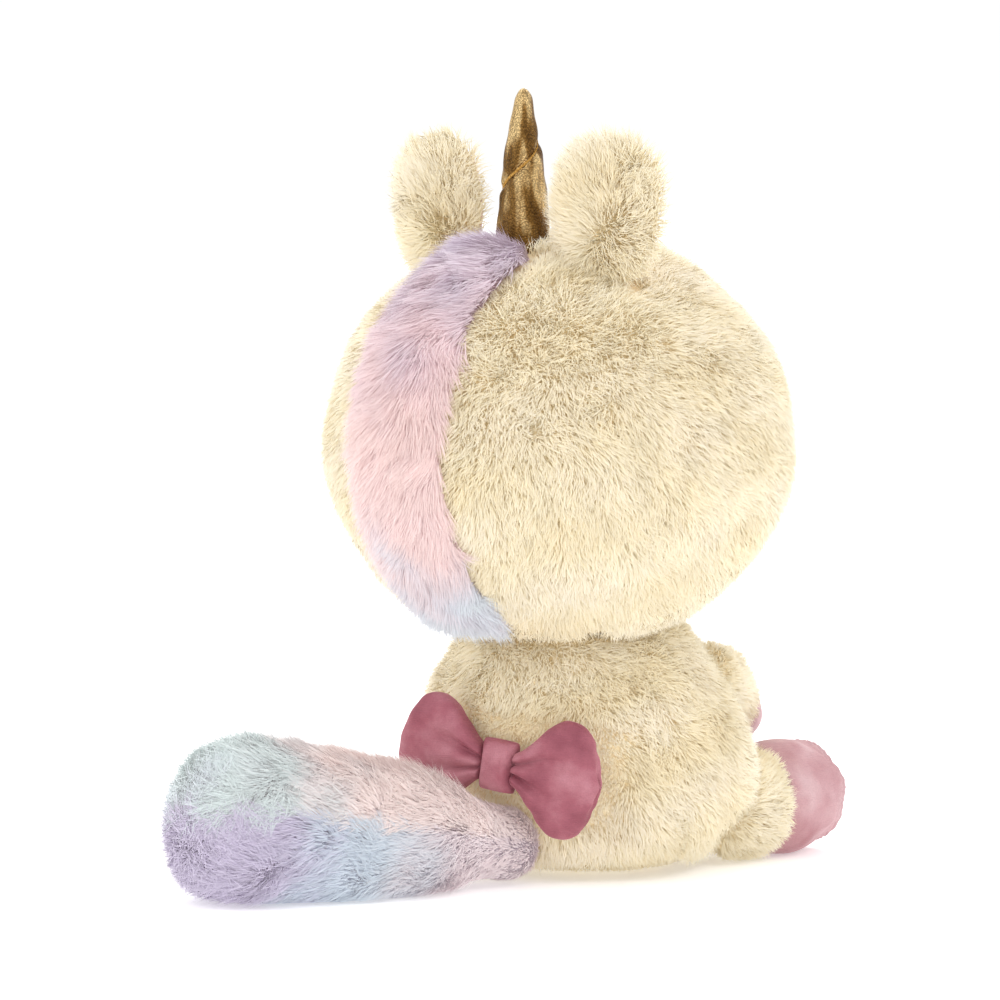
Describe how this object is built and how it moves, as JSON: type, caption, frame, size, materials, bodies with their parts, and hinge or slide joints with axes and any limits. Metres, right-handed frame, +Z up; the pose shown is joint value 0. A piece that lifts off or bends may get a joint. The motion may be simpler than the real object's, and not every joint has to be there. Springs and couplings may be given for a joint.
{
  "type": "plush unicorn",
  "caption": "Sitting stuffed unicorn with a big round head, short plush body, long-pile mane and tail, metallic horn, velvet bow and velvet hooves.",
  "frame": {"origin": "on the floor under the middle of the torso's base", "axes": "+Z up; the body faces -Y, so its left side is +X and its tail and bow are at +Y"},
  "size_m": [0.135, 0.2012, 0.2241],
  "materials": {
    "cream_plush": "matte",
    "filling": "matte",
    "pouch_cloth": "matte",
    "thread": "matte",
    "mane_pile": "matte",
    "eye": "gloss",
    "washer": "matte",
    "embroidery": "matte",
    "hoof_velvet": "matte",
    "horn_lame": "satin",
    "horn_thread": "satin",
    "tail_upper_pile": "matte",
    "tail_lower_pile": "matte",
    "bow_velvet": "matte"
  },
  "bodies": {
    "torso": {"torso_back_left": "cream_plush", "torso_back_right": "cream_plush", "torso_belly": "cream_plush", "torso_base": "cream_plush", "torso_stuffing": "filling", "bean_bag": "pouch_cloth", "neck_seam": "thread"},
    "neck": {"neck_stuffing": "filling"},
    "head": {"head_side_left": "cream_plush", "head_side_right": "cream_plush", "head_gusset": "cream_plush", "chin_panel": "cream_plush", "mane": "mane_pile", "muzzle": "cream_plush", "head_stuffing": "filling", "eye_left": "eye", "eye_right": "eye", "eye_washer_left": "washer", "eye_washer_right": "washer", "nostril_left": "embroidery", "nostril_right": "embroidery", "mouth": "embroidery"},
    "ear_left": {"ear_left_back": "cream_plush", "ear_left_lining": "hoof_velvet", "ear_left_filling": "filling"},
    "ear_right": {"ear_right_back": "cream_plush", "ear_right_lining": "hoof_velvet", "ear_right_filling": "filling"},
    "horn": {"horn_cover": "horn_lame", "horn_stuffing": "filling", "horn_thread": "horn_thread"},
    "tail": {"tail_upper": "tail_upper_pile", "tail_lower": "tail_lower_pile", "tail_stuffing": "filling"},
    "bow": {"bow_left_cover": "bow_velvet", "bow_left_filling": "filling", "bow_right_cover": "bow_velvet", "bow_right_filling": "filling", "bow_knot": "bow_velvet", "bow_tack": "bow_velvet"},
    "hind_leg_left": {"hind_left_sleeve": "cream_plush", "hind_left_hoof": "hoof_velvet", "hind_left_sole": "hoof_velvet", "hind_left_stuffing": "filling"},
    "hind_leg_right": {"hind_right_sleeve": "cream_plush", "hind_right_hoof": "hoof_velvet", "hind_right_sole": "hoof_velvet", "hind_right_stuffing": "filling"},
    "front_leg_left": {"front_left_sleeve": "cream_plush", "front_left_hoof": "hoof_velvet", "front_left_stuffing": "filling"},
    "front_leg_right": {"front_right_sleeve": "cream_plush", "front_right_hoof": "hoof_velvet", "front_right_stuffing": "filling"}
  },
  "joints": [
    {"name": "neck_turn", "type": "hinge", "parent": "torso", "child": "neck", "pos_m": [0, 0.018, 0.1245], "axis": [0, 0, 1], "range_deg": [-20, 20], "stiffness_Nm_per_rad": 0.12},
    {"name": "neck_nod", "type": "hinge", "parent": "neck", "child": "head", "pos_m": [0, 0.018, 0.1245], "axis": [0.9659, -0.2588, 0], "range_deg": [-7, 7], "stiffness_Nm_per_rad": 0.6},
    {"name": "ear_left_fold", "type": "hinge", "parent": "head", "child": "ear_left", "pos_m": [0.03283, 0.02266, 0.17414], "axis": [0.9659, -0.2588, 0], "range_deg": [-12, 12], "stiffness_Nm_per_rad": 0.01},
    {"name": "ear_right_fold", "type": "hinge", "parent": "head", "child": "ear_right", "pos_m": [-0.0261, 0.03845, 0.17414], "axis": [0.9659, -0.2588, 0], "range_deg": [-12, 12], "stiffness_Nm_per_rad": 0.01},
    {"name": "horn_tilt", "type": "hinge", "parent": "head", "child": "horn", "pos_m": [0.00375, 0.03201, 0.18008], "axis": [0.9659, -0.2588, 0], "range_deg": [-8, 8], "stiffness_Nm_per_rad": 0.02},
    {"name": "tail_swing", "type": "hinge", "parent": "torso", "child": "tail", "pos_m": [0, 0.046, 0.0115], "axis": [0, 0, 1], "range_deg": [-2, 25], "stiffness_Nm_per_rad": 0.02},
    {"name": "bow_twist", "type": "hinge", "parent": "torso", "child": "bow", "pos_m": [0, 0.0526, 0.0345], "axis": [0, 1, 0], "range_deg": [-6, 2], "stiffness_Nm_per_rad": 0.004},
    {"name": "hind_leg_left_spread", "type": "hinge", "parent": "torso", "child": "hind_leg_left", "pos_m": [0.033, -0.025, 0.0165], "axis": [0, 0, 1], "range_deg": [-2, 18], "stiffness_Nm_per_rad": 0.04},
    {"name": "hind_leg_right_spread", "type": "hinge", "parent": "torso", "child": "hind_leg_right", "pos_m": [-0.033, -0.025, 0.0165], "axis": [0, 0, -1], "range_deg": [-2, 18], "stiffness_Nm_per_rad": 0.04},
    {"name": "front_leg_left_raise", "type": "hinge", "parent": "torso", "child": "front_leg_left", "pos_m": [0.027, -0.025, 0.054], "axis": [-1, 0, 0], "range_deg": [0, 22], "stiffness_Nm_per_rad": 0.02},
    {"name": "front_leg_right_raise", "type": "hinge", "parent": "torso", "child": "front_leg_right", "pos_m": [-0.027, -0.025, 0.054], "axis": [-1, 0, 0], "range_deg": [0, 22], "stiffness_Nm_per_rad": 0.02}
  ]
}
